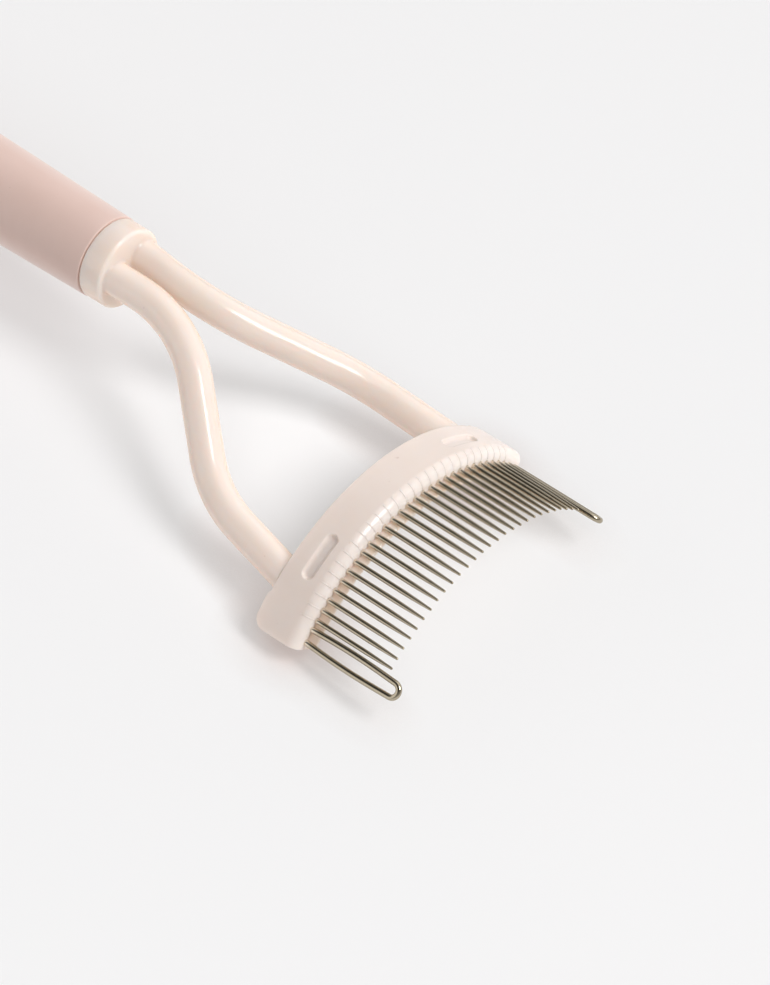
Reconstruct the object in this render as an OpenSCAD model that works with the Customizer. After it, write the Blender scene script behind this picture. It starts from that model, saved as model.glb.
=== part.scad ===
// Arched lash comb: a row of steel pins held in a curved head, carried on a
// forked yoke that plugs into a tapered grip.
//
// Frame: +X runs along the grip axis towards the pin tips, +Y across the comb
// and +Z up, away from the hollow side of the arch. The origin is on the grip
// axis, in the rear end face. Millimetres and degrees.
//
// The head is drawn in its own frame: origin at the top of the pin arc, in the
// plane where the pins leave the cover. Its parts are swept about the arch
// axis, which is parallel to X and lies arch_r below that origin.

/* [Grip] */
// Length of the grip sleeve
grip_len = 64.1; // [50:0.1:80]
// Diameter of the parallel rear stretch
grip_rear_d = 12; // [11:0.1:14]
// Length of the parallel rear stretch
grip_parallel_len = 28; // [15:1:40]
// Diameter at the front edge
grip_front_d = 10.5; // [10.2:0.05:11]
// Diameter of the blind bore
grip_bore_d = 7.6; // [6:0.1:8]
// Thickness of the closed rear end
grip_end_wall = 4; // [2:0.5:8]
// Radius of the rear edge
grip_edge_r = 1.2; // [0.5:0.1:2]
// Bevel of the front edge
grip_front_bevel = 0.15; // [0.05:0.05:0.4]

/* [Collar and spigot] */
// Length of the collar in front of the seam
collar_len = 3.2; // [2.5:0.1:6]
// Diameter of the collar
collar_d = 10.3; // [9.5:0.05:10.5]
// Radius of the collar's front edge
collar_edge_r = 0.4; // [0.2:0.1:1.2]
// Open seam between grip and collar
seam_gap = 0.12; // [0.05:0.01:0.4]
// Length of the spigot inside the grip
spigot_len = 15; // [8:1:30]
// Radial clearance of the spigot in its bore
spigot_clear = 0.03; // [0.01:0.01:0.1]

/* [Arms] */
// Diameter of the round arms
arm_d = 4.14; // [3:0.02:5]
// Distance from the centre plane to each arm's axis inside the collar
arm_root_y = 2.49; // [2:0.01:3]
// Height of that point above the grip axis
arm_root_z = 0.59; // [0:0.01:1]
// Set-back of that point behind the collar's front face
arm_root_back = 0.9; // [0.5:0.1:2]
// Roll of the plane that each arm is bent in
arm_roll = -38.1; // [-45:0.1:-30]
// Nose-down pitch of that plane
arm_pitch = 14.2; // [10:0.1:18]
// Outward yaw of that plane
arm_yaw = 7.7; // [4:0.1:10]
// Heading in that plane where the arm leaves the collar
arm_heading = -14.2; // [-18:0.1:-10]
// First straight stretch
arm_straight_1 = 4.6; // [2:0.1:8]
// Bend outwards
arm_bend_1 = 47.4; // [40:0.1:55]
// Centreline radius of the bend outwards
arm_bend_r1 = 16.1; // [10:0.1:20]
// Middle straight stretch
arm_straight_2 = 8.9; // [6:0.1:12]
// Bend back towards the head
arm_bend_2 = 34.1; // [25:0.1:40]
// Centreline radius of the bend back
arm_bend_r2 = 15.75; // [10:0.05:20]
// Last straight stretch, into the head
arm_straight_3 = 9.4; // [8:0.1:10]

/* [Head] */
// Distance from the rear end to the plane where the pins leave the cover
head_x = 111; // [105:0.5:120]
// Drop from the grip axis to the top of the pin arc
head_drop = 9.3; // [8:0.1:11]
// Radius of the arc that the pins stand on
arch_r = 23.8; // [22:0.1:26]
// Half angle of the head
head_half = 53; // [52.6:0.1:55]
// Depth of the head along X, behind the pin plane
head_depth = 6.1; // [5.6:0.1:7]
// Height of the cover's outer face above the pin arc
cover_rise = 1.75; // [1.5:0.05:2]
// Depth of the head's inner face below the pin arc
shell_drop = 2.5; // [2.2:0.1:3]
// Fillet between the cover's outer face and its front
cover_fillet = 1.4; // [0.8:0.1:1.4]
// Radius of the cover's upper rear edge
cover_rear_r = 0.4; // [0.1:0.1:0.6]
// Radius of the head's rear corners, seen from above
corner_r = 1.5; // [0.8:0.1:2.5]
// Extra depth of the ears beyond the arms
ear_step = 0.25; // [0.1:0.05:0.5]
// Angle where the ears begin
ear_from = 43.2; // [41:0.1:46]
// Reach of the lip below the pins
lip_reach = 1.25; // [0.8:0.05:2]
// Thickness of that lip
lip_t = 0.55; // [0.4:0.05:1]
// Wall thickness of the cover and the shell
wall = 1; // [0.8:0.1:1.2]
// Gap left between mating faces
seat_gap = 0.05; // [0.02:0.01:0.1]

/* [Cover recesses] */
// Angle of each recess from the centre plane
recess_angle = 28.7; // [22:0.1:32]
// Distance of the recesses behind the pin plane
recess_back = 3.1; // [2.6:0.1:3.6]
// Overall length of a recess
recess_len = 6; // [3:0.1:8]
// Width of a recess
recess_w = 1.5; // [0.8:0.1:2]
// Depth of a recess
recess_depth = 0.5; // [0.2:0.05:0.6]

/* [Pins] */
// Number of pins
pin_count = 28; // [20:2:28]
// Angle between neighbouring pins
pin_pitch = 3.232; // [3:0.01:3.25]
// Diameter of a pin
pin_d = 0.6; // [0.4:0.05:0.7]
// Free length of a pin
pin_len = 11.45; // [8:0.05:13]
// Length of the taper at the tip
pin_taper = 4.2; // [2:0.1:6]
// Diameter of the rounded tip
pin_tip_d = 0.32; // [0.2:0.02:0.4]
// Depth of a pin or a guard leg in the head
pin_root = 4.2; // [3:0.1:4.5]

/* [Guard loops] */
// Diameter of the guard wire
guard_d = 0.75; // [0.6:0.05:0.8]
// Angle of the inner leg from the centre plane
guard_inner = 46.3; // [46.2:0.1:46.6]
// Angle of the outer leg from the centre plane
guard_outer = 50.5; // [50.2:0.1:50.6]
// Reach of the loop in front of the pin plane
guard_reach = 13.8; // [12:0.1:16]

/* [Hidden] */

$fn = 96;
sweep_fn = 180;                           // facets of a full turn of a sweep
arm_fn = 64;
mid_fn = 48;                              // guard wires and recess ends
small_fn = 32;                            // pins and small edge radii

cut_over = 1;                             // overrun of cutting tools
bend_lap = 0.3;
bend_slimmer = 0.01;
spigot_lap = 1;                           // how far the spigot runs into the collar
collar_x = grip_len + seam_gap;           // rear face of the collar
collar_front_x = collar_x + collar_len;
slot_clear = 0.02;                        // round the wires in the cover's front wall
bore_clear = 0.01;                        // round the wires in the bed

// Radii about the arch axis, from the inside out
shell_inner_r = arch_r - shell_drop;
lip_top_r = arch_r - pin_d / 2 - seat_gap;
bed_half_t = 0.8;
cavity_floor_r = arch_r - bed_half_t - seat_gap;
parting_r = arch_r + 0.4;
cover_under_r = arch_r + bed_half_t + seat_gap;
cover_outer_r = arch_r + cover_rise;

// Lengths along X behind the pin plane, and end angles
bed_front = wall + seat_gap;
bed_rear = head_depth - wall - seat_gap;
end_wall_deg = 1;
cavity_half = head_half - end_wall_deg;
bed_half = cavity_half - 0.1;             // a small gap at each end of the bed
outline_lap = 0.001;                      // joins bands that would only touch
rib_w = 0.24;                             // width of a rib on the cover's front
rib_h = 0.07;                             // height of a rib
rib_from = 12;                            // where a rib starts on the fillet
rib_turn = 66;                            // how far round the fillet it climbs
recess_end_sink = 0.03;                   // the round ends lie this much deeper

// Boxes that cut the arms off, and the tool that rounds the rear corners
stop_over_deg = 5;
stop_over_r = 3;
stop_len = 10;
corner_tool_h = 8;

skin = "#ecdccf";
ivory = "#eae0d9";
dusty_pink = "#d9c0b7";
steel = "#8d8874";

function pin_name(i) = str("pin_", i < 10 ? "0" : "", i);
function pin_angle(i) = (i - (pin_count + 1) / 2) * pin_pitch;
function arc_deg(len, r) = len / r * 180 / PI;

// ---- placing --------------------------------------------------------------

module at_head() {
    translate([head_x, 0, -head_drop])
        children();
}

// Stands the child on the arch at an angle: the child's +Z points outwards.
module on_arch(angle, r = arch_r) {
    translate([0, 0, -arch_r])
        rotate([-angle, 0, 0])
            translate([0, 0, r])
                children();
}

// Sweeps an outline about the arch axis. The outline's X is the radius and
// its Y is the position along the part's X.
module arch_sector(from, to) {
    translate([0, 0, -arch_r])
        rotate([0, 90, 0])
            rotate([0, 0, 180 - to])
                rotate_extrude(angle = to - from, $fn = sweep_fn)
                    children();
}

module arch_sweep(half) {
    arch_sector(-half, half)
        children();
}

// An outline rectangle between two radii and two positions along X.
module band(r_from, r_to, x_from, x_to) {
    translate([r_from, x_from])
        square([r_to - r_from, x_to - x_from]);
}

module rod_x(r, x_from, x_to) {
    translate([x_from, 0, 0])
        rotate([0, 90, 0])
            cylinder(r = r, h = x_to - x_from);
}

// ---- grip -----------------------------------------------------------------

module grip_outline() {
    rear_r = grip_rear_d / 2;
    front_r = grip_front_d / 2;
    union() {
        polygon([
            [0, 0],
            [rear_r - grip_edge_r, 0],
            [rear_r - grip_edge_r, grip_edge_r],
            [rear_r, grip_edge_r],
            [rear_r, grip_parallel_len],
            [front_r, grip_len - grip_front_bevel],
            [front_r - grip_front_bevel, grip_len],
            [0, grip_len],
        ]);
        translate([rear_r - grip_edge_r, grip_edge_r])
            circle(r = grip_edge_r);
    }
}

module grip_sleeve() {
    color(dusty_pink)
        difference() {
            rotate([0, 90, 0])
                rotate_extrude()
                    grip_outline();
            rod_x(grip_bore_d / 2, grip_end_wall, grip_len + cut_over);
        }
}

// ---- yoke -----------------------------------------------------------------

module collar_outline() {
    r = collar_d / 2;
    union() {
        square([r, collar_len - collar_edge_r]);
        square([r - collar_edge_r, collar_len]);
        translate([r - collar_edge_r, collar_len - collar_edge_r])
            circle(r = collar_edge_r);
    }
}

module collar() {
    translate([collar_x, 0, 0])
        rotate([0, 90, 0])
            rotate_extrude()
                collar_outline();
}

module spigot() {
    r = grip_bore_d / 2 - spigot_clear;
    lead_in = 0.8;
    rod_x(r, collar_x - spigot_len + lead_in, collar_x + spigot_lap);
    translate([collar_x - spigot_len, 0, 0])
        rotate([0, 90, 0])
            cylinder(r1 = r - lead_in / 2, r2 = r, h = lead_in);
}

// The straight stretches lap a little way over the ends of the bends, which
// are a hair slimmer.
module arm_straight(len) {
    rod_x(arm_d / 2, -bend_lap, len + bend_lap, $fn = arm_fn);
}

// A bend that starts at the origin heading along +X. A positive turn goes
// towards +Y and a negative one towards -Y.
module arm_bend(r, turn) {
    translate([0, sign(turn) * r, 0])
        rotate([0, 0, turn > 0 ? -90 : 90 + turn])
            rotate_extrude(angle = abs(turn), $fn = sweep_fn)
                translate([r, 0])
                    circle(r = arm_d / 2 - bend_slimmer, $fn = arm_fn);
}

module after_bend(r, turn) {
    translate([r * sin(abs(turn)), sign(turn) * r * (1 - cos(turn)), 0])
        rotate([0, 0, turn])
            children();
}

module arm_path() {
    arm_straight(arm_straight_1);
    translate([arm_straight_1, 0, 0]) {
        arm_bend(arm_bend_r1, arm_bend_1);
        after_bend(arm_bend_r1, arm_bend_1) {
            arm_straight(arm_straight_2);
            translate([arm_straight_2, 0, 0]) {
                arm_bend(arm_bend_r2, -arm_bend_2);
                after_bend(arm_bend_r2, -arm_bend_2)
                    arm_straight(arm_straight_3);
            }
        }
    }
}

module arm() {
    translate([collar_front_x - arm_root_back, arm_root_y, arm_root_z])
        rotate([arm_roll, arm_pitch, arm_yaw])
            rotate([0, 0, arm_heading])
                arm_path();
}

// The lower half of the head: a trough with a lip under the pins.
module shell_body() {
    lip_r = lip_t / 2;
    union() {
        arch_sweep(head_half)
            band(shell_inner_r, lip_top_r, -head_depth, 0);
        arch_sweep(head_half)
            band(lip_top_r - lip_t, lip_top_r, -wall, lip_reach - lip_r);
        arch_sweep(head_half)
            translate([lip_top_r - lip_r, lip_reach - lip_r])
                circle(r = lip_r, $fn = small_fn);
        arch_sweep(head_half)
            band(shell_inner_r, parting_r - seat_gap, -head_depth, -wall - seat_gap);
    }
}

module shell_cavity() {
    arch_sweep(cavity_half)
        band(cavity_floor_r, cover_outer_r + cut_over, -head_depth + wall, -wall);
}

// Keeps the arms clear of the cover, and ends them inside the rear wall.
module arm_stop() {
    arch_sweep(head_half + stop_over_deg)
        band(
            parting_r - seat_gap / 2, cover_outer_r + stop_over_r,
            -head_depth - seat_gap, -head_depth + wall
        );
    translate([-head_depth + wall / 2, -arch_r, -arch_r])
        cube([stop_len, 2 * arch_r, 2 * arch_r]);
}

// Rounds the rear corners of the head, seen from outside.
module rear_corner_cut(side, depth) {
    on_arch(side * head_half, shell_inner_r - cut_over)
        difference() {
            translate([-depth - cut_over, side > 0 ? -corner_r : -cut_over, 0])
                cube([corner_r + cut_over, corner_r + cut_over, corner_tool_h]);
            translate([-depth + corner_r, -side * corner_r, -cut_over])
                cylinder(r = corner_r, h = corner_tool_h + 2 * cut_over);
        }
}

module yoke() {
    color(skin)
        difference() {
            union() {
                collar();
                spigot();
                difference() {
                    union() {
                        arm();
                        mirror([0, 1, 0])
                            arm();
                    }
                    at_head()
                        arm_stop();
                }
                at_head()
                    shell_body();
            }
            at_head() {
                shell_cavity();
                for (side = [-1, 1])
                    rear_corner_cut(side, head_depth);
            }
        }
}

// ---- head cover -----------------------------------------------------------

module cover_outline(depth) {
    front_x = -cover_fillet;
    rear_x = -depth + cover_rear_r;
    union() {
        band(parting_r, cover_outer_r - cover_rear_r, -depth, front_x);
        band(parting_r, cover_outer_r, rear_x, front_x);
        translate([cover_outer_r - cover_rear_r, rear_x])
            circle(r = cover_rear_r, $fn = small_fn);
        band(parting_r, cover_outer_r - cover_fillet + outline_lap, front_x, 0);
        band(lip_top_r + seat_gap, cover_outer_r - cover_fillet, -wall, 0);
        translate([cover_outer_r - cover_fillet, front_x])
            circle(r = cover_fillet);
    }
}

module cover_shape() {
    arch_sweep(head_half)
        intersection() {
            cover_outline(head_depth);
            band(lip_top_r + seat_gap, cover_outer_r, -head_depth, 0);
        }
    for (side = [-1, 1])
        arch_sector(
            side > 0 ? ear_from : -head_half,
            side > 0 ? head_half : -ear_from
        )
            band(
                parting_r, cover_outer_r - cover_rear_r / 2,
                -head_depth - ear_step, -head_depth + wall / 2
            );
}

module cover_cavity() {
    arch_sweep(cavity_half)
        band(lip_top_r, cover_under_r, -head_depth + wall, -wall);
}

// A racetrack pocket that follows the arch.
module recess(angle) {
    half_run = arc_deg((recess_len - recess_w) / 2, cover_outer_r);
    floor_r = cover_outer_r - recess_depth;
    arch_sector(angle - half_run, angle + half_run)
        band(
            floor_r, cover_outer_r + cut_over,
            -recess_back - recess_w / 2, -recess_back + recess_w / 2
        );
    for (end = [-1, 1])
        on_arch(angle + end * half_run, floor_r - recess_end_sink)
            translate([-recess_back, 0, 0])
                cylinder(d = recess_w, h = recess_depth + cut_over, $fn = mid_fn);
}

// A thin rib that climbs the front fillet above each pin.
module front_rib(angle) {
    r = cover_fillet + rib_h;
    on_arch(angle, cover_outer_r - cover_fillet)
        translate([-cover_fillet, rib_w / 2, 0])
            rotate([90, 0, 0])
                rotate([0, 0, rib_from])
                    rotate_extrude(angle = rib_turn)
                        translate([r / 2, 0])
                            square([r / 2, rib_w]);
}

module front_slots() {
    for (i = [1 : pin_count])
        on_arch(pin_angle(i))
            rod_x(pin_d / 2 + slot_clear, -wall - cut_over, cut_over);
    for (side = [-1, 1], angle = [guard_inner, guard_outer])
        on_arch(side * angle)
            rod_x(guard_d / 2 + slot_clear, -wall - cut_over, cut_over);
}

module head_cover() {
    color(ivory)
        at_head()
            difference() {
                union() {
                    cover_shape();
                    for (i = [1 : pin_count])
                        front_rib(pin_angle(i));
                }
                cover_cavity();
                front_slots();
                for (side = [-1, 1]) {
                    recess(side * recess_angle);
                    rear_corner_cut(side, head_depth + ear_step);
                }
            }
}

// ---- pin bed --------------------------------------------------------------

module pin_bed() {
    color("white")
        at_head()
            difference() {
                arch_sweep(bed_half)
                    band(
                        arch_r - bed_half_t, arch_r + bed_half_t,
                        -bed_rear, -bed_front
                    );
                for (i = [1 : pin_count])
                    on_arch(pin_angle(i))
                        rod_x(pin_d / 2 + bore_clear, -pin_root, 0);
                for (side = [-1, 1], angle = [guard_inner, guard_outer])
                    on_arch(side * angle)
                        rod_x(guard_d / 2 + bore_clear, -pin_root, 0);
            }
}

// ---- pins and guards ------------------------------------------------------

module pin(i) {
    tip_r = pin_tip_d / 2;
    taper_x = pin_len - pin_taper;
    color(steel)
        at_head()
            on_arch(pin_angle(i))
                union() {
                    rod_x(pin_d / 2, -pin_root, taper_x, $fn = small_fn);
                    translate([taper_x, 0, 0])
                        rotate([0, 90, 0])
                            cylinder(
                                r1 = pin_d / 2, r2 = tip_r,
                                h = pin_taper - tip_r, $fn = small_fn
                            );
                    translate([pin_len - tip_r, 0, 0])
                        sphere(r = tip_r, $fn = small_fn);
                }
}

// A wire bent into a U. Both legs lie on the pin arc.
module guard_loop(side) {
    middle = (guard_inner + guard_outer) / 2;
    spread = (guard_outer - guard_inner) / 2;
    bend_r = arch_r * sin(spread);
    bend_x = guard_reach - guard_d / 2 - bend_r;
    color(steel)
        at_head()
            on_arch(side * middle, arch_r * cos(spread))
                union() {
                    for (leg = [-1, 1])
                        translate([0, leg * bend_r, 0])
                            rod_x(guard_d / 2, -pin_root, bend_x, $fn = mid_fn);
                    translate([bend_x, 0, 0])
                        rotate([0, 0, -90])
                            rotate_extrude(angle = 180)
                                translate([bend_r, 0])
                                    circle(d = guard_d, $fn = mid_fn);
                }
}

grip_sleeve();
yoke();
head_cover();
pin_bed();
for (i = [1 : pin_count])
    pin(i);
guard_loop(-1);  // guard_loop_right
guard_loop(1);  // guard_loop_left
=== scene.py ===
"""Looks of the arched lash comb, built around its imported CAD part.

Shapes are worked out in millimetres in the row frame: +X runs along the grip
towards the pin tips, +Y across the comb and +Z up. Meshes are in metres.
The moulded pieces are meshed from distance fields, so that their edges are
soft and the arms flow into the collar. A field is negative inside.
"""

import itertools
import math

import bpy
import numpy as np
from mathutils import Matrix, Vector


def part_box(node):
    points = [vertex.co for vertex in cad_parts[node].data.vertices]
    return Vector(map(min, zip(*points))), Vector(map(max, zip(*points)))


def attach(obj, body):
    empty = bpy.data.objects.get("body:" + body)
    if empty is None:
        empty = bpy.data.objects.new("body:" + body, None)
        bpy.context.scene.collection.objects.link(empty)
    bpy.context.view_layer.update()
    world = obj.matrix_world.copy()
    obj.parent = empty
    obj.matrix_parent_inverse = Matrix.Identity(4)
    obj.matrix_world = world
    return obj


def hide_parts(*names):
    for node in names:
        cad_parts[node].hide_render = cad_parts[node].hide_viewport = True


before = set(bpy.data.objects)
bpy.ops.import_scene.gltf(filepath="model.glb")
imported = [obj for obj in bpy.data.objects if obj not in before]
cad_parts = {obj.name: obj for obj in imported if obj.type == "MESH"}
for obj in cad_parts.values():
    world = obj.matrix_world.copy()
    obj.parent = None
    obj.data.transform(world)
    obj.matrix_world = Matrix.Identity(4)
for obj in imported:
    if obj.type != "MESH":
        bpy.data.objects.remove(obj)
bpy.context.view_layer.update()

MM = 0.001
SEED = 11


def box_mm(node):
    """Lowest and highest corner of a CAD node, in millimetres."""
    return [np.array(corner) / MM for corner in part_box(node)]


def centre_mm(node):
    low, high = box_mm(node)
    return (low + high) / 2


# ---- sizes, in millimetres and degrees ----------------------------------------

PIN_NODES = sorted(
    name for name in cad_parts
    if name.startswith("pin_") and name != "pin_bed"
)

GRIP_EDGE_R = 1.2
GRIP_PARALLEL_LEN = 28.0
GRIP_FRONT_R = 5.25
GRIP_FRONT_BEVEL = 0.15
GRIP_BORE_R = 3.8
GRIP_END_WALL = 4.0
GRIP_LEN, _, GRIP_R = box_mm("grip_sleeve")[1]

COLLAR_GAP = 0.12
COLLAR_X = GRIP_LEN + COLLAR_GAP
COLLAR_LEN = 3.2
COLLAR_R = 5.15
COLLAR_EDGE_R = 0.4
COLLAR_BACK_EDGE_R = 0.15
COLLAR_BACK_LEN = 1.5
SPIGOT_LEN = 15.0
SPIGOT_LAP = 1.0
SPIGOT_R = 3.77
SPIGOT_EDGE_R = 0.5

ARM_R = 2.07
ARM_SUNK = 0.9
ARM_START = np.array([COLLAR_X + COLLAR_LEN - ARM_SUNK, 2.49, 0.59])
ARM_ROLL, ARM_PITCH, ARM_YAW = -38.1, 14.2, 7.7
ARM_HEADING = -14.2
# Each stretch is (length, None) for a straight or (radius, turn) for a bend.
ARM_STRETCHES = ((4.6, None), (16.1, 47.4), (8.9, None), (15.75, -34.1), (9.4, None))
ARM_FILLET = 0.3
ARM_WEB = 0.25
HEAD_FILLET = 0.35

PIN_FREE_LEN = 11.45
PIN_PITCH = 3.232
PITCH = math.radians(PIN_PITCH)
PIN_R = 0.3
PIN_TIP_R = 0.16
PIN_TAPER = 4.6
PIN_TAPER_POWER = 1.6
PIN_ROOT = 4.2
PIN_ROOT_BEVEL = 0.05
PIN_LEN_PLAY = (-0.06, 0.04)
PIN_LEAN = 0.0025


def arch_from_pins():
    """Height of the arch axis and radius of the arc, from three pins' places."""
    _, end_y, end_z = centre_mm(PIN_NODES[0])
    _, top_y, top_z = centre_mm(PIN_NODES[len(PIN_NODES) // 2])
    squares = end_y**2 + end_z**2 - top_y**2 - top_z**2
    axis_z = squares / (2 * (end_z - top_z))
    return axis_z, math.hypot(top_y, top_z - axis_z)


HEAD_X = box_mm(PIN_NODES[0])[1][0] - PIN_FREE_LEN
AXIS_Z, ARCH_R = arch_from_pins()
HEAD_HALF = math.radians(53)
HEAD_DEPTH = 6.1
EAR_STEP = 0.25
EAR_RAMP = 0.5
EAR_FROM = math.radians(43.2)
CORNER_R = 1.5
WALL = 1.0
GAP = 0.05
CAVITY_HALF = math.radians(52)
OUTER_R = ARCH_R + 1.75
PARTING_R = ARCH_R + 0.4
LIP_TOP_R = ARCH_R - PIN_R - GAP
COVER_UNDER_R = ARCH_R + 0.85
TROUGH_FLOOR_R = ARCH_R - 0.85
SHELL_INNER_R = ARCH_R - 2.5
LIP_REACH = 1.25
LIP_T = 0.55
LIP_HALF = math.radians(51.5)
SHELL_EDGE_R = 0.3
SHELL_PLAN_EDGE_R = 0.2
SHELL_WALL_EDGE_R = 0.1
FRONT_FILLET = 1.4
SOFT_EDGE = 0.13
PARTING_EDGE_R = 0.12
PIN_HOLE_CLEAR = 0.02
PIN_HOLE_EDGE_R = 0.06
RIB_R = 0.14
RIB_H = 0.05
RIB_FROM_DEG, RIB_TO_DEG = 88, 6
RIB_RUN_IN = 0.25
RECESS_ANGLE = math.radians(28.7)
RECESS_BACK = 3.1
RECESS_HALF_RUN = 2.25
RECESS_R = 0.75
RECESS_DEPTH = 0.5
RECESS_EDGE_R = 0.2
RECESS_FLOOR_R = 0.45

GUARD_R = 0.375
GUARD_REACH = 13.8
GUARD_BEND_R = 0.872
GUARD_BASE_HALF = 0.83
GUARD_BOW = 0.19


# ---- distance fields ----------------------------------------------------------

# Distance given where there is no hole.
NOWHERE = 1.0


def rounded_and(a, b, radius):
    """Where both fields are inside; their common edge is rounded."""
    a, b = a + radius, b + radius
    corner = np.hypot(np.maximum(a, 0), np.maximum(b, 0))
    return corner + np.minimum(np.maximum(a, b), 0) - radius


def rounded_or(a, b, radius):
    """Where either field is inside; the inner corner is filleted."""
    return -rounded_and(-a, -b, radius)


def smooth_step(share):
    share = np.clip(share, 0, 1)
    return share * share * (3 - 2 * share)


def slab(value, low, high):
    """Inside where the value is between low and high."""
    return np.maximum(low - value, value - high)


def rod_field(x, off_axis, x_from, x_to, radius, edge_r):
    """A round rod along X with rounded edges."""
    return rounded_and(slab(x, x_from, x_to), off_axis - radius, edge_r)


def arm_matrix():
    """Turns the arm's own axes into the row frame."""
    turns = ((ARM_YAW, "Z"), (ARM_PITCH, "Y"), (ARM_ROLL, "X"), (ARM_HEADING, "Z"))
    matrix = Matrix.Identity(3)
    for angle, axis in turns:
        matrix = matrix @ Matrix.Rotation(math.radians(angle), 3, axis)
    return np.array(matrix)


def straight_distance(x, y, z, length):
    """Distance from a straight that starts at the origin along +X."""
    beyond = x - np.clip(x, 0, length)
    return np.sqrt(beyond**2 + y**2 + z**2)


def bend_distance(x, y, z, radius, turn):
    """Distance from a bend that starts at the origin heading along +X."""
    side = math.copysign(1, turn)
    from_centre_y = radius - side * y
    angle = np.arctan2(x, from_centre_y)
    nearest = np.clip(angle, 0, abs(turn))
    dx = x - radius * np.sin(nearest)
    dy = from_centre_y - radius * np.cos(nearest)
    return np.sqrt(dx**2 + dy**2 + z**2)


def arm_field(x, y, z):
    """The +Y arm: straights and bends laid end to end in one plane."""
    away = np.broadcast_arrays(*(v - s for v, s in zip((x, y, z), ARM_START)))
    to_arm = arm_matrix().T
    x, y, z = (sum(row[i] * away[i] for i in range(3)) for row in to_arm)
    distance = None
    for size, turn in ARM_STRETCHES:
        if turn is None:
            piece = straight_distance(x, y, z, size)
            x = x - size
        else:
            angle = math.radians(turn)
            piece = bend_distance(x, y, z, size, angle)
            x = x - size * math.sin(abs(angle))
            y = y - math.copysign(size * (1 - math.cos(angle)), turn)
            c, s = math.cos(angle), math.sin(angle)
            x, y = c * x + s * y, c * y - s * x
        distance = piece if distance is None else np.minimum(distance, piece)
    return distance - ARM_R


def polar(x, y, z):
    """Position along the head, radius and angle about the arch axis."""
    return x - HEAD_X, np.hypot(y, z - AXIS_Z), np.arctan2(y, z - AXIS_Z)


def shell_field(x, y, z):
    """The lower half of the head: a trough with a lip under the pins."""
    u, r, angle = polar(x, y, z)
    end = (np.abs(angle) - HEAD_HALF) * r
    plan = rounded_and(-HEAD_DEPTH - u, end, CORNER_R)
    floor = rounded_and(slab(r, SHELL_INNER_R, LIP_TOP_R), u, SHELL_EDGE_R)
    walls = slab(r, SHELL_INNER_R, PARTING_R - GAP)
    walls = rounded_and(walls, u + WALL + GAP, SHELL_WALL_EDGE_R)
    lip_r = LIP_T / 2
    lip = slab(r, LIP_TOP_R - LIP_T, LIP_TOP_R)
    lip = rounded_and(lip, slab(u, -WALL, LIP_REACH), lip_r)
    lip = rounded_and(lip, (np.abs(angle) - LIP_HALF) * r, lip_r)
    body = np.minimum(rounded_or(floor, lip, SHELL_EDGE_R), walls)
    body = rounded_and(body, plan, SHELL_PLAN_EDGE_R)
    hollow = np.maximum(slab(u, -HEAD_DEPTH + WALL, -WALL), TROUGH_FLOOR_R - r)
    hollow = np.maximum(hollow, (np.abs(angle) - CAVITY_HALF) * r)
    return np.maximum(body, -hollow)


def yoke_field(x, y, z):
    """Collar, spigot, both arms and the lower half of the head."""
    off_axis = np.hypot(y, z)
    collar = rod_field(x, off_axis, COLLAR_X, COLLAR_X + COLLAR_LEN, COLLAR_R, COLLAR_EDGE_R)
    back_to = COLLAR_X + COLLAR_BACK_LEN
    collar_back = rod_field(x, off_axis, COLLAR_X, back_to, COLLAR_R, COLLAR_BACK_EDGE_R)
    spigot_from, spigot_to = COLLAR_X - SPIGOT_LEN, COLLAR_X + SPIGOT_LAP
    spigot = rod_field(x, off_axis, spigot_from, spigot_to, SPIGOT_R, SPIGOT_EDGE_R)
    arms = rounded_or(arm_field(x, y, z), arm_field(x, -y, z), ARM_WEB)
    arms = np.maximum(arms, x - HEAD_X + HEAD_DEPTH - WALL / 2)
    plug = np.minimum(np.minimum(collar, collar_back), spigot)
    u, r, _ = polar(x, y, z)
    above_parting = np.maximum(-HEAD_DEPTH - GAP - u, PARTING_R - GAP / 2 - r)
    shell = shell_field(x, y, z)
    arms = np.maximum(rounded_or(arms, shell, HEAD_FILLET), -above_parting)
    return rounded_or(plug, arms, ARM_FILLET)


def nearest_pin_offset(angle):
    """Angle from the nearest pin's middle, and whether there is a pin there."""
    place = angle / PITCH + 0.5
    offset = (place - np.round(place)) * PITCH
    there = np.abs(np.round(place) - 0.5) < len(PIN_NODES) / 2
    return offset, there


def pin_hole(r, angle):
    """Holes for the pins, as if they ran right through."""
    offset, there = nearest_pin_offset(angle)
    hole = np.hypot(offset * r, r - ARCH_R) - PIN_R - PIN_HOLE_CLEAR
    return np.where(there, hole, NOWHERE)


def recess_field(u, r, angle):
    """A racetrack pocket in each half of the cover's outer face."""
    along = np.abs((np.abs(angle) - RECESS_ANGLE) * r)
    side = np.hypot(np.maximum(along - RECESS_HALF_RUN, 0), u + RECESS_BACK) - RECESS_R
    return rounded_and(side, OUTER_R - RECESS_DEPTH - r, RECESS_FLOOR_R)


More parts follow.
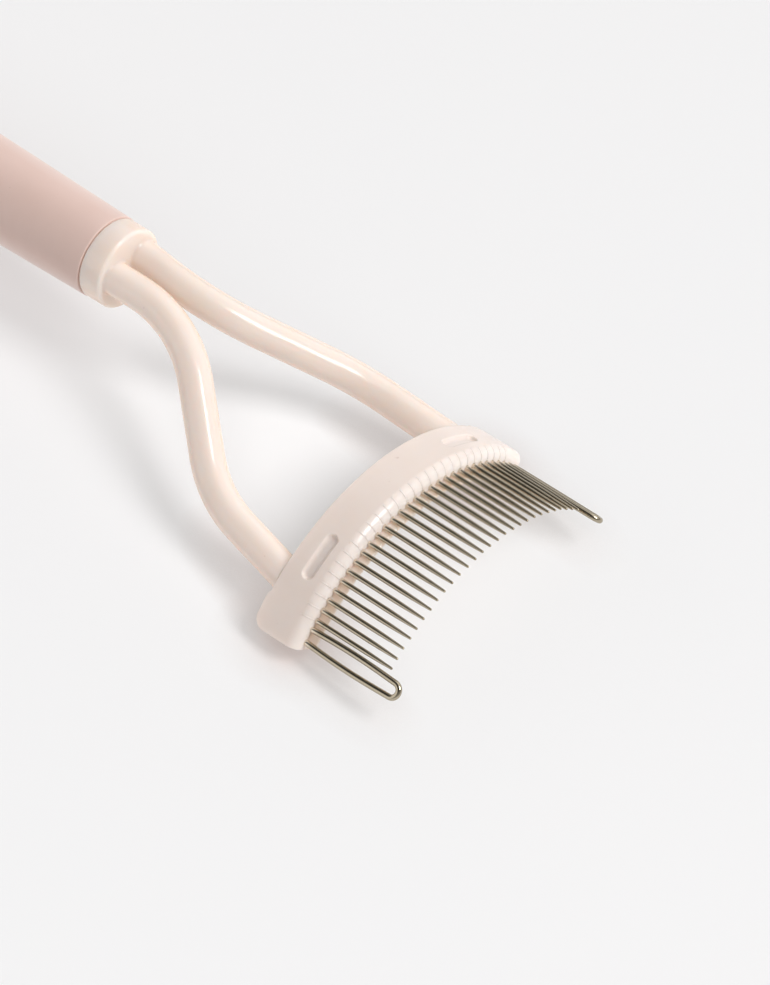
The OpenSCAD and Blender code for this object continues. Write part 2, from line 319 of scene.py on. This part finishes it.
def cover_field(x, y, z):
    """The ivory upper half of the head, with its ears, recesses and pin holes."""
    u, r, angle = polar(x, y, z)
    ear = smooth_step((np.abs(angle) - EAR_FROM) * ARCH_R / EAR_RAMP + 0.5)
    end = (np.abs(angle) - HEAD_HALF) * r
    rear = -HEAD_DEPTH - EAR_STEP * ear - u
    top = rounded_and(r - OUTER_R, u, FRONT_FILLET)
    body = rounded_and(top, rounded_and(rear, end, CORNER_R), SOFT_EDGE)
    front_wall = np.maximum(LIP_TOP_R + GAP - r, -WALL - u)
    body = rounded_and(body, np.minimum(PARTING_R - r, front_wall), PARTING_EDGE_R)
    body = rounded_and(body, -recess_field(u, r, angle), RECESS_EDGE_R)
    body = rounded_and(body, -pin_hole(r, angle), PIN_HOLE_EDGE_R)
    hollow = np.maximum(slab(u, -HEAD_DEPTH + WALL, -WALL), r - COVER_UNDER_R)
    hollow = np.maximum(hollow, (np.abs(angle) - CAVITY_HALF) * r)
    return np.maximum(body, -hollow)


# ---- meshing ------------------------------------------------------------------

YOKE_CELL = 0.2
COVER_CELL = 0.11
MARGIN_CELLS = 2.6
FIRST_PULLS = 4
SMOOTHINGS = 2
PULLS_AFTER = 2
SLOPE_REACH = 0.004
LEAST_STEEP = 0.25
TINY = 1e-9
SHARP_FROM = math.radians(40)


def crossed_cells(inside):
    """Number of each grid cell that the surface crosses, and -1 elsewhere."""
    cells = np.array(inside.shape) - 1
    corners = np.zeros(cells, np.int8)
    for i, j, k in itertools.product((0, 1), repeat=3):
        corners += inside[i:cells[0] + i, j:cells[1] + j, k:cells[2] + k]
    crossed = (corners > 0) & (corners < 8)
    number = np.full(cells, -1)
    number[crossed] = np.arange(np.count_nonzero(crossed))
    return number


def quads_across(inside, number, axis):
    """A quad round each grid edge along one axis that the surface crosses."""
    low = np.delete(inside, -1, axis)
    high = np.delete(inside, 0, axis)
    edges = np.argwhere(low != high)
    step_b, step_c = (np.eye(3, dtype=int)[(axis + turn) % 3] for turn in (1, 2))
    around = (0 * step_b, step_b, step_b + step_c, step_c)
    quads = np.stack([number[tuple((edges - s).T)] for s in around], axis=1)
    facing_back = ~low[tuple(edges.T)]
    quads[facing_back] = quads[facing_back, ::-1]
    return quads


def slope(field, points):
    """Gradient of the field at each point."""
    columns = []
    for axis in range(3):
        shift = SLOPE_REACH * np.eye(3)[axis]
        ahead, behind = field(*(points + shift).T), field(*(points - shift).T)
        columns.append((ahead - behind) / (2 * SLOPE_REACH))
    return np.stack(columns, axis=1)


def pull_on(field, points, step, rounds):
    """Moves points on to the surface, by no more than a cell a round."""
    for _ in range(rounds):
        grade = slope(field, points)
        steep = np.maximum((grade**2).sum(axis=1), LEAST_STEEP)
        move = -field(*points.T) / steep
        reach = np.sqrt(steep) * np.abs(move)
        move = move * np.minimum(1, step / np.maximum(reach, TINY))
        points = points + grade * move[:, None]
    return points


def relaxed(points, quads):
    """Each point half-way to the middle of its neighbours."""
    total = np.zeros_like(points)
    count = np.zeros(len(points))
    for a, b in ((0, 1), (1, 2), (2, 3), (3, 0)):
        for here, there in ((a, b), (b, a)):
            np.add.at(total, quads[:, here], points[quads[:, there]])
            np.add.at(count, quads[:, here], 1)
    return (points + total / count[:, None]) / 2


def mesh_object(name, points, faces, normals=None):
    """A smooth-shaded piece from points in millimetres."""
    mesh = bpy.data.meshes.new(name)
    mesh.from_pydata((np.asarray(points) * MM).tolist(), [], faces)
    mesh.polygons.foreach_set("use_smooth", [True] * len(mesh.polygons))
    if normals is not None:
        mesh.normals_split_custom_set_from_vertices(normals.tolist())
    mesh.update()
    piece = bpy.data.objects.new(name, mesh)
    bpy.context.scene.collection.objects.link(piece)
    return piece


def field_object(name, field, low, high, step):
    """A closed mesh of the field's surface, shaded with the field's slope."""
    margin = MARGIN_CELLS * step
    axes = [np.arange(a - margin, b + margin, step) for a, b in zip(low, high)]
    inside = field(*np.meshgrid(*axes, indexing="ij", sparse=True)) < 0
    number = crossed_cells(inside)
    cells = np.argwhere(number >= 0)
    points = np.stack([axes[i][cells[:, i]] for i in range(3)], axis=1) + step / 2
    quads = np.concatenate([quads_across(inside, number, axis) for axis in range(3)])
    points = pull_on(field, points, step, FIRST_PULLS)
    for _ in range(SMOOTHINGS):
        points = pull_on(field, relaxed(points, quads), step, PULLS_AFTER)
    grade = slope(field, points)
    length = np.maximum(np.linalg.norm(grade, axis=1, keepdims=True), TINY)
    return mesh_object(name, points, quads.tolist(), grade / length)


def tube_faces(count, sides, first):
    """Faces of a tube of rings with capped ends; first is its first point."""
    faces = []
    for i in range(count - 1):
        for j in range(sides):
            k = (j + 1) % sides
            a = first + i * sides
            b = a + sides
            faces.append((a + j, b + j, b + k, a + k))
    last = first + (count - 1) * sides
    faces.append(tuple(range(first, first + sides)))
    faces.append(tuple(reversed(range(last, last + sides))))
    return faces


def rings_object(name, *tubes):
    """A mesh of tubes; each tube is a list of rings of points, in order."""
    points, faces = [], []
    for rings in tubes:
        sides = len(rings[0])
        faces += tube_faces(len(rings), sides, sum(map(len, points)))
        points += rings
    piece = mesh_object(name, np.concatenate(points), faces)
    piece.data.set_sharp_from_angle(angle=SHARP_FROM)
    return piece


def round_ring(centre, radius, first, second, sides):
    """Points of a circle in the plane of two unit vectors."""
    turns = np.linspace(0, 2 * math.pi, sides, endpoint=False)[:, None]
    return centre + radius * (np.cos(turns) * first + np.sin(turns) * second)


def lathe(name, profile, sides, origin=(0, 0, 0), axis=(1, 0, 0)):
    """Turns a profile of (position, radius) pairs about an axis."""
    turn = Vector((1, 0, 0)).rotation_difference(Vector(axis)).to_matrix()
    along, first, second = np.array(turn).T
    rings = []
    for x, radius in profile:
        rings.append(round_ring(origin + x * along, radius, first, second, sides))
    return rings_object(name, rings)


def arc_profile(x, radius, arc_r, from_deg, to_deg, steps):
    """Profile points on an arc about (x, radius); 0 degrees is along +X."""
    angles = np.radians(np.linspace(from_deg, to_deg, steps))
    return [(x + arc_r * math.cos(a), radius + arc_r * math.sin(a)) for a in angles]


# ---- pieces -------------------------------------------------------------------

ON_AXIS = 0.01
BORE_BEVEL = 0.1
BORE_MIDDLE = 40
REAR_RING_R = 2
GRIP_SIDES = 160
WIRE_SIDES = 28
RIB_SIDES = 20
PATH_STEPS = 24
BEND_STEPS = 25
EDGE_STEPS = 10
BEVEL_STEPS = 5
PARALLEL_STEPS = 14
TAPER_STEPS = 20
SHANK_STEPS = 8
TIP_STEPS = 14
TIP_END_STEPS = 6
GRIP_RINGS_FROM = 2
PIN_RINGS_FROM = -3
GUARD_ROOT_STRAIGHT = 2


def grip_outside():
    """Profile of the grip's rear edge, parallel part, taper and front edge."""
    rear_r = GRIP_R - GRIP_EDGE_R
    profile = arc_profile(GRIP_EDGE_R, rear_r, GRIP_EDGE_R, 180, 90, EDGE_STEPS)
    parallel = np.linspace(GRIP_RINGS_FROM, GRIP_PARALLEL_LEN, PARALLEL_STEPS)
    profile += [(x, GRIP_R) for x in parallel]
    front = GRIP_LEN - GRIP_FRONT_BEVEL
    for share in np.linspace(0, 1, TAPER_STEPS)[1:]:
        x = GRIP_PARALLEL_LEN + share * (front - GRIP_PARALLEL_LEN)
        profile.append((x, GRIP_R + share * (GRIP_FRONT_R - GRIP_R)))
    edge_r = GRIP_FRONT_R - GRIP_FRONT_BEVEL
    return profile + arc_profile(front, edge_r, GRIP_FRONT_BEVEL, 75, 0, BEVEL_STEPS)


def make_grip():
    """The grip: closed at the rear and bored from the front."""
    rear = [(0, ON_AXIS), (0, REAR_RING_R), (0, GRIP_R - GRIP_EDGE_R - BORE_BEVEL)]
    bore = [
        (GRIP_LEN, GRIP_BORE_R + BORE_BEVEL),
        (GRIP_LEN - BORE_BEVEL, GRIP_BORE_R),
        (BORE_MIDDLE, GRIP_BORE_R),
        (GRIP_END_WALL, GRIP_BORE_R),
        (GRIP_END_WALL, ON_AXIS),
    ]
    return lathe("grip", rear + grip_outside() + bore, GRIP_SIDES)


def make_yoke():
    return field_object("yoke_frame", yoke_field, *box_mm("yoke"), YOKE_CELL)


def make_cover():
    return field_object("cover", cover_field, *box_mm("head_cover"), COVER_CELL)


def arch_axes(node):
    """Unit vectors ahead, across and outward at a node's place on the arch."""
    _, y, z = centre_mm(node)
    angle = math.atan2(y, z - AXIS_Z)
    outward = np.array([0, math.sin(angle), math.cos(angle)])
    across = np.array([0, math.cos(angle), -math.sin(angle)])
    return np.array([1.0, 0, 0]), across, outward


def rib_rings(node):
    """A thin rib, mostly sunk, that climbs the cover's front fillet above a pin."""
    ahead, across, outward = arch_axes(node)
    middle = np.array([HEAD_X, 0, AXIS_Z]) - FRONT_FILLET * ahead
    middle = middle + (OUTER_R - FRONT_FILLET) * outward
    rings = []
    for share in np.linspace(0, 1, PATH_STEPS):
        a = math.radians(RIB_FROM_DEG + (RIB_TO_DEG - RIB_FROM_DEG) * share)
        normal = math.cos(a) * ahead + math.sin(a) * outward
        height = RIB_H * smooth_step(share / RIB_RUN_IN)
        point = middle + (FRONT_FILLET - RIB_R + height) * normal
        rings.append(round_ring(point, RIB_R, across, normal, RIB_SIDES))
    return rings


def make_ribs():
    return rings_object("cover_ribs", *(rib_rings(node) for node in PIN_NODES))


def pin_profile(length):
    """Profile of a pin from its hidden root to its rounded tip."""
    profile = [
        (-PIN_ROOT, ON_AXIS),
        (-PIN_ROOT, PIN_R - PIN_ROOT_BEVEL),
        (-PIN_ROOT + PIN_ROOT_BEVEL, PIN_R),
    ]
    shank = np.linspace(PIN_RINGS_FROM, length - PIN_TAPER, SHANK_STEPS)
    profile += [(x, PIN_R) for x in shank]
    tip_x = length - PIN_TIP_R
    for share in np.linspace(0, 1, TIP_STEPS)[1:]:
        x = length - PIN_TAPER + share * (PIN_TAPER - PIN_TIP_R)
        profile.append((x, PIN_R - (PIN_R - PIN_TIP_R) * share**PIN_TAPER_POWER))
    return profile + arc_profile(tip_x, 0, PIN_TIP_R, 80, 5, TIP_END_STEPS)


def make_pin(node, random):
    """One pin, a hair out of true like the others on a real comb."""
    _, y, z = centre_mm(node)
    length = PIN_FREE_LEN + random.uniform(*PIN_LEN_PLAY)
    axis = (1, random.normal(0, PIN_LEAN), random.normal(0, PIN_LEAN))
    return lathe(f"{node}_wire", pin_profile(length), WIRE_SIDES, (HEAD_X, y, z), axis)


def guard_path():
    """Points (x, y) of a guard wire in its own plane, from root to root."""
    bend_x = GUARD_REACH - GUARD_R - GUARD_BEND_R
    leg = []
    for share in np.linspace(0, 1, PATH_STEPS):
        half = GUARD_BASE_HALF + (GUARD_BEND_R - GUARD_BASE_HALF) * share
        leg.append((bend_x * share, half + GUARD_BOW * math.sin(math.pi * share)))
    leg = [(x, GUARD_BASE_HALF) for x in (-PIN_ROOT, -GUARD_ROOT_STRAIGHT)] + leg
    bend = arc_profile(bend_x, 0, GUARD_BEND_R, 90, -90, BEND_STEPS)[1:-1]
    return leg + bend + [(x, -y) for x, y in reversed(leg)]


def make_guard(node):
    """Sweeps the wire's round section along the guard's path."""
    ahead, across, outward = arch_axes(node)
    plane_r = ARCH_R * math.cos(math.asin(GUARD_BEND_R / ARCH_R))
    origin = np.array([HEAD_X, 0, AXIS_Z]) + plane_r * outward
    path = np.array(guard_path())
    tangents = np.gradient(path, axis=0)
    tangents /= np.linalg.norm(tangents, axis=1, keepdims=True)
    rings = []
    for (x, side), (tx, ty) in zip(path, tangents):
        point = origin + x * ahead + side * across
        beside = tx * across - ty * ahead
        rings.append(round_ring(point, GUARD_R, beside, outward, WIRE_SIDES))
    return rings_object(f"{node}_wire", rings)


# ---- materials ----------------------------------------------------------------

FLOOR_LIFT = 0.33
PAINTED_SHADE_REACH = 6.5
PAINTED_SHADE_FULL = 0.3
PAINTED_GLOW_LIFT = 0.12
SOAK_DEPTH = 2.5
SOAK_BY_COLOUR = (1.0, 0.75, 0.6)
MOST_NOISE = (0.3, 0.7)
UPPER_NOISE = (0.62, 0.72)
RARE_NOISE = (0.79, 0.82)
PAINTED_RIM_FROM = 0.45
PAINTED_FRONT_LIGHT = 0.35
SPECK_TINT = 0.3
STAIN_TINT = 0.5
PAINTED_ROOT_GLOW = 0.1
PAINTED_ROOT_LEN = 1.1


def srgb(red, green, blue):
    """Linear colour from 8-bit display values."""
    shares = [v / 255 for v in (red, green, blue)]
    linear = [s / 12.92 if s <= 0.04045 else ((s + 0.055) / 1.055) ** 2.4 for s in shares]
    return (*linear, 1)


class Shader:
    """A material with short ways to add and join its nodes."""

    def __init__(self, name):
        self.material = bpy.data.materials.new(name)
        self.material.use_nodes = True
        self.tree = self.material.node_tree
        self.surface = self.tree.nodes["Principled BSDF"]
        place = self.add("ShaderNodeTexCoord")
        self.place = place.outputs["Object"]

    def add(self, kind, **settings):
        node = self.tree.nodes.new(kind)
        for key, value in settings.items():
            setattr(node, key, value)
        return node

    def join(self, source, target):
        self.tree.links.new(source, target)

    def set(self, **values):
        """Sets inputs of the surface; _ stands for a space in their names."""
        for key, value in values.items():
            self.surface.inputs[key.replace("_", " ")].default_value = value

    def noise(self, size_mm, detail=3, stretch=(1, 1, 1)):
        """Noise with features of about this size, and its 0 to 1 output."""
        mapping = self.add("ShaderNodeMapping")
        self.join(self.place, mapping.inputs["Vector"])
        mapping.inputs["Scale"].default_value = stretch
        noise = self.add("ShaderNodeTexNoise")
        noise.inputs["Scale"].default_value = 1 / (size_mm * MM)
        noise.inputs["Detail"].default_value = detail
        self.join(mapping.outputs["Vector"], noise.inputs["Vector"])
        return noise.outputs["Fac"]

    def along(self):
        """Position along the comb, in metres."""
        split = self.add("ShaderNodeSeparateXYZ")
        self.join(self.place, split.inputs["Vector"])
        return split.outputs["X"]

    def facing(self):
        """0 where the surface faces the camera and 1 at its rim."""
        return self.add("ShaderNodeLayerWeight").outputs["Facing"]

    def ramp(self, value, low, high, to_low, to_high):
        """Maps low to to_low and high to to_high, and holds outside them."""
        node = self.add("ShaderNodeMapRange")
        self.join(value, node.inputs["Value"])
        numbers = (low, high, to_low, to_high)
        for key, number in zip(("From Min", "From Max", "To Min", "To Max"), numbers):
            node.inputs[key].default_value = number
        return node.outputs["Result"]

    def blend(self, share, colour_a, colour_b):
        """Colour between a and b; either may be a node output."""
        node = self.add("ShaderNodeMix", data_type="RGBA")
        self.join(share, node.inputs[0])
        for socket, colour in ((node.inputs[6], colour_a), (node.inputs[7], colour_b)):
            if isinstance(colour, tuple):
                socket.default_value = colour
            else:
                self.join(colour, socket)
        return node.outputs[2]

    def bump(self, height, distance_mm, strength, below=None):
        """Normal tilted by a height map, on top of the normal below it."""
        node = self.add("ShaderNodeBump")
        node.inputs["Distance"].default_value = distance_mm * MM
        node.inputs["Strength"].default_value = strength
        self.join(height, node.inputs["Height"])
        if below is not None:
            self.join(below, node.inputs["Normal"])
        return node.outputs["Normal"]

    def colour(self, output):
        self.join(output, self.surface.inputs["Base Color"])

    def roughness(self, output):
        self.join(output, self.surface.inputs["Roughness"])

    def normal(self, output):
        self.join(output, self.surface.inputs["Normal"])


def plastic_tint(shader, pale, deep, rim, front):
    """Cloudy colour with specks, painted shade at the rims (painted sheen where the rim
    colour is paler) and, if given, painted paler light on the front fillet.
    """
    cloud = shader.ramp(shader.noise(size_mm=9, detail=4), *MOST_NOISE, 0, 1)
    tint = shader.blend(cloud, pale, deep)
    # painted rim shade: surfaces seen edge-on take the rim colour, standing in for the
    # warmer shade of translucent plastic
    edge = shader.ramp(shader.facing(), PAINTED_RIM_FROM, 1, 0, 1)
    tint = shader.blend(edge, tint, rim)
    if front is not None:
        # painted light: the front fillet is painted paler towards the pins
        fillet_from = (HEAD_X - FRONT_FILLET) * MM
        painted_front_light = shader.ramp(shader.along(), fillet_from, HEAD_X * MM, 0, PAINTED_FRONT_LIGHT)
        tint = shader.blend(painted_front_light, tint, front)
    speck = shader.ramp(shader.noise(size_mm=0.9, detail=1), *RARE_NOISE, 0, SPECK_TINT)
    return shader.blend(speck, tint, srgb(176, 150, 138))


def plastic(name, pale, deep, rim, roughness, glow, grain, front=None):
    """Moulded plastic with smears of gloss, slight waves and a fine grain."""
    shader = Shader(name)
    shader.colour(plastic_tint(shader, pale, deep, rim, front))
    smear = shader.noise(size_mm=3, detail=5, stretch=(0.35, 1, 1))
    smooth, dull = roughness - 0.04, roughness + 0.06
    shader.roughness(shader.ramp(smear, *MOST_NOISE, smooth, dull))
    grain_mm, grain_strength = grain
    waves, fine = shader.noise(size_mm=2.6, detail=2), shader.noise(grain_mm, detail=2)
    normal = shader.bump(waves, distance_mm=0.05, strength=0.03)
    shader.normal(shader.bump(fine, 0.02, grain_strength, below=normal))
    shader.set(IOR=1.5, Subsurface_Weight=glow, Subsurface_Scale=SOAK_DEPTH * MM)
    shader.set(Subsurface_Radius=SOAK_BY_COLOUR)
    # painted glow: a faint warm emission stands in for light carried through the plastic
    shader.set(Emission_Color=srgb(255, 214, 186), Emission_Strength=glow * PAINTED_GLOW_LIFT)
    return shader.material


def polished_steel():
    """Drawn and polished wire, warm grey, with fine lines along it.

    The first stretch out of the head is painted paler and given a faint painted glow, for
    the warm light of the plastic that it reflects.
    """
    shader = Shader("polished_steel")
    lines = shader.noise(size_mm=0.12, stretch=(0.03, 1, 1))
    cloud = shader.noise(size_mm=2.5, stretch=(0.5, 1, 1))
    tone = shader.blend(cloud, srgb(182, 172, 152), srgb(172, 161, 141))
    stain = shader.ramp(shader.noise(size_mm=0.7, detail=4), *UPPER_NOISE, 0, STAIN_TINT)
    tone = shader.blend(stain, tone, srgb(124, 110, 92))
    # painted reflection: paler colour and a faint glow on the first stretch of wire
    painted_root_span = (HEAD_X * MM, (HEAD_X + PAINTED_ROOT_LEN) * MM)
    root = shader.ramp(shader.along(), *painted_root_span, 1, 0)
    shader.colour(shader.blend(root, tone, srgb(216, 206, 190)))
    glow = shader.ramp(shader.along(), *painted_root_span, PAINTED_ROOT_GLOW, 0)
    shader.join(glow, shader.surface.inputs["Emission Strength"])
    shader.set(Emission_Color=srgb(222, 211, 200))
    shader.roughness(shader.ramp(lines, *MOST_NOISE, 0.08, 0.18))
    shader.normal(shader.bump(lines, distance_mm=0.01, strength=0.08))
    shader.set(Metallic=1.0)
    return shader.material


def floor_paper():
    """Pale backlit sheet: faint cast shadows, and painted warm shade close to the comb."""
    shader = Shader("floor_paper")
    cloud = shader.noise(size_mm=60, detail=2)
    paper = shader.blend(cloud, srgb(198, 198, 199), srgb(196, 196, 198))
    # painted shade: occlusion darkens the paper to a warm brown near the comb
    near = shader.add("ShaderNodeAmbientOcclusion", samples=8)
    near.inputs["Distance"].default_value = PAINTED_SHADE_REACH * MM
    painted_contact_shade = shader.ramp(near.outputs["AO"], PAINTED_SHADE_FULL, 1, 1, 0)
    shader.colour(shader.blend(painted_contact_shade, paper, srgb(136, 108, 94)))
    shader.set(Emission_Color=(1, 1, 1, 1), Emission_Strength=FLOOR_LIFT)
    shader.roughness(shader.ramp(cloud, *MOST_NOISE, 0.75, 0.85))
    fibres = shader.noise(size_mm=0.6)
    shader.normal(shader.bump(fibres, distance_mm=0.01, strength=0.1))
    return shader.material


# ---- studio -------------------------------------------------------------------

FLOOR_AT_REAR = -6.0
FLOOR_SLOPE = -0.1362
VIEW_AZIMUTH, VIEW_ELEVATION, VIEW_ROLL = 41.246, 46.269, -0.254
VIEW_OFFSET = (-2.994, 1.036, 610.74)
VIEW_LENS = 195.3
WORLD_LOW, WORLD_HIGH = 0.52, 0.06
WORLD_DARK_FROM = 0.9
LIGHT_AIM = np.array([90.0, 0.0, -8.0])
FLOOR_HALF = 2500.0
SENSOR_W = 36
NEAREST, FARTHEST = 0.01, 20
WARM_WHITE = (1.0, 0.99, 0.98)
# Azimuth, elevation, distance, width, height and watts of each lamp; the last is
# INCLUDE to light only the floor, EXCLUDE to leave it out or None to light all.
LAMPS = {
    "key": (104, 46, 2200, 760, 1150, 31, None),
    "card": (312, 16, 1500, 2300, 1150, 7, None),
    "back": (213, 34, 2200, 2400, 1400, 5, None),
    "wide": (155, 52, 2200, 3000, 3000, 30, "EXCLUDE"),
    "front": (42, 45, 2200, 1600, 1800, 21, "INCLUDE"),
}


def make_floor():
    """A pale sheet that the grip's rear edge and the head's ends rest on."""
    signs = ((-1, -1), (1, -1), (1, 1), (-1, 1))
    corners = [(i * FLOOR_HALF, j * FLOOR_HALF) for i, j in signs]
    points = [(x, y, FLOOR_AT_REAR + FLOOR_SLOPE * x) for x, y in corners]
    floor = mesh_object("floor", points, [(0, 1, 2, 3)])
    floor.data.materials.append(floor_paper())


def direction(azimuth, elevation):
    """Unit vector; azimuth 0 is -Y and 90 is +X."""
    a, e = math.radians(azimuth), math.radians(elevation)
    return np.array([math.sin(a) * math.cos(e), -math.cos(a) * math.cos(e), math.sin(e)])


def softbox(name, azimuth, elevation, distance, width, height, power):
    """A rectangular lamp that faces the comb; its direction is seen from the comb."""
    lamp = bpy.data.lights.new(name, "AREA")
    lamp.shape = "RECTANGLE"
    lamp.size, lamp.size_y = width * MM, height * MM
    lamp.energy = power
    lamp.color = WARM_WHITE
    holder = bpy.data.objects.new(name, lamp)
    away = Vector(direction(azimuth, elevation))
    holder.location = (Vector(LIGHT_AIM) + away * distance) * MM
    holder.visible_camera = False
    holder.rotation_mode = "QUATERNION"
    holder.rotation_quaternion = away.to_track_quat("Z", "Y")
    bpy.context.scene.collection.objects.link(holder)
    return holder


def link_floor(holder, state):
    """Lets a lamp light nothing but the floor (INCLUDE) or leave it out (EXCLUDE)."""
    group = bpy.data.collections.new(f"{holder.name}_and_floor")
    group.objects.link(bpy.data.objects["floor"])
    group.collection_objects[0].light_linking.link_state = state
    holder.light_linking.receiver_collection = group


def make_world():
    """Surroundings that are bright near the horizon and dark overhead."""
    world = bpy.data.worlds.new("studio")
    world.use_nodes = True
    tree = world.node_tree
    background = tree.nodes["Background"]
    place = tree.nodes.new("ShaderNodeTexCoord")
    split = tree.nodes.new("ShaderNodeSeparateXYZ")
    tree.links.new(place.outputs["Generated"], split.inputs["Vector"])
    fade = tree.nodes.new("ShaderNodeMapRange")
    fade.interpolation_type = "SMOOTHSTEP"
    tree.links.new(split.outputs["Z"], fade.inputs["Value"])
    limits = (0.0, WORLD_DARK_FROM, WORLD_LOW, WORLD_HIGH)
    for key, number in zip(("From Min", "From Max", "To Min", "To Max"), limits):
        fade.inputs[key].default_value = number
    tree.links.new(fade.outputs["Result"], background.inputs["Strength"])
    background.inputs["Color"].default_value = srgb(245, 244, 242)
    bpy.context.scene.world = world


def make_camera():
    """A long lens at the photograph's angle."""
    back = Vector(direction(VIEW_AZIMUTH, VIEW_ELEVATION))
    a = math.radians(VIEW_AZIMUTH)
    right = Vector((math.cos(a), math.sin(a), 0))
    up = back.cross(right)
    c, s = math.cos(math.radians(VIEW_ROLL)), math.sin(math.radians(VIEW_ROLL))
    right, up = c * right + s * up, c * up - s * right
    aim = Vector((HEAD_X, 0, AXIS_Z + ARCH_R))
    place = aim + VIEW_OFFSET[0] * right + VIEW_OFFSET[1] * up + VIEW_OFFSET[2] * back
    data = bpy.data.cameras.new("camera")
    data.lens, data.sensor_width = VIEW_LENS, SENSOR_W
    data.clip_start, data.clip_end = NEAREST, FARTHEST
    camera = bpy.data.objects.new("camera", data)
    turn = Matrix((right, up, back)).transposed().to_4x4()
    camera.matrix_world = Matrix.Translation(place * MM) @ turn
    bpy.context.scene.collection.objects.link(camera)
    bpy.context.scene.camera = camera


# ---- putting it together --------------------------------------------------------


def settle(piece, material, slot, *nodes):
    """Gives a new piece its finish, hangs it under the root and hides the CAD nodes it
    stands for.
    """
    piece.data.materials.clear()
    piece.data.materials.append(material)
    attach(piece, "root")
    if nodes:
        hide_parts(*nodes)


random = np.random.default_rng(SEED)
# The third colour of each plastic is its painted rim shade; on the grip it is a painted
# sheen.
peach = plastic(
    "yoke_peach", srgb(225, 216, 210), srgb(223, 213, 205), srgb(224, 200, 180),
    roughness=0.14, glow=0.85, grain=(0.35, 0.015)
)
# the last colour is the painted paler light on the front fillet
ivory = plastic(
    "cover_ivory", srgb(234, 220, 213), srgb(231, 216, 208), srgb(231, 216, 208),
    roughness=0.2, glow=0.4, grain=(0.3, 0.03), front=srgb(250, 244, 241)
)
# painted highlight: the ribs get a paler ivory for the light that catches them
painted_highlight_ivory = plastic(
    "rib_painted_highlight_ivory", srgb(246, 236, 230), srgb(242, 230, 223), srgb(246, 236, 230),
    roughness=0.2, glow=0.4, grain=(0.3, 0.03)
)
dusty = plastic(
    "grip_dusty_pink", srgb(224, 197, 188), srgb(220, 192, 182), srgb(228, 210, 203),
    roughness=0.5, glow=0.05, grain=(0.12, 0.2)
)
natural = plastic(
    "bed_natural", srgb(232, 228, 218), srgb(226, 221, 210), srgb(214, 206, 190),
    roughness=0.4, glow=0.2, grain=(0.3, 0.1)
)
steel = polished_steel()

settle(make_grip(), dusty, "grip", "grip_sleeve")
settle(make_yoke(), peach, "yoke", "yoke")
settle(make_cover(), ivory, "cover", "head_cover")
settle(make_ribs(), painted_highlight_ivory, "cover")
for pin_node in PIN_NODES:
    settle(make_pin(pin_node, random), steel, "steel", pin_node)
for guard_node in ("guard_loop_right", "guard_loop_left"):
    settle(make_guard(guard_node), steel, "steel", guard_node)

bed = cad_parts["pin_bed"]
bed.data.materials.clear()
bed.data.materials.append(natural)

make_floor()
make_world()
for lamp_name, (*placing, state) in LAMPS.items():
    holder = softbox(lamp_name, *placing)
    if state is not None:
        link_floor(holder, state)
make_camera()
bpy.context.scene.view_settings.view_transform = "Standard"
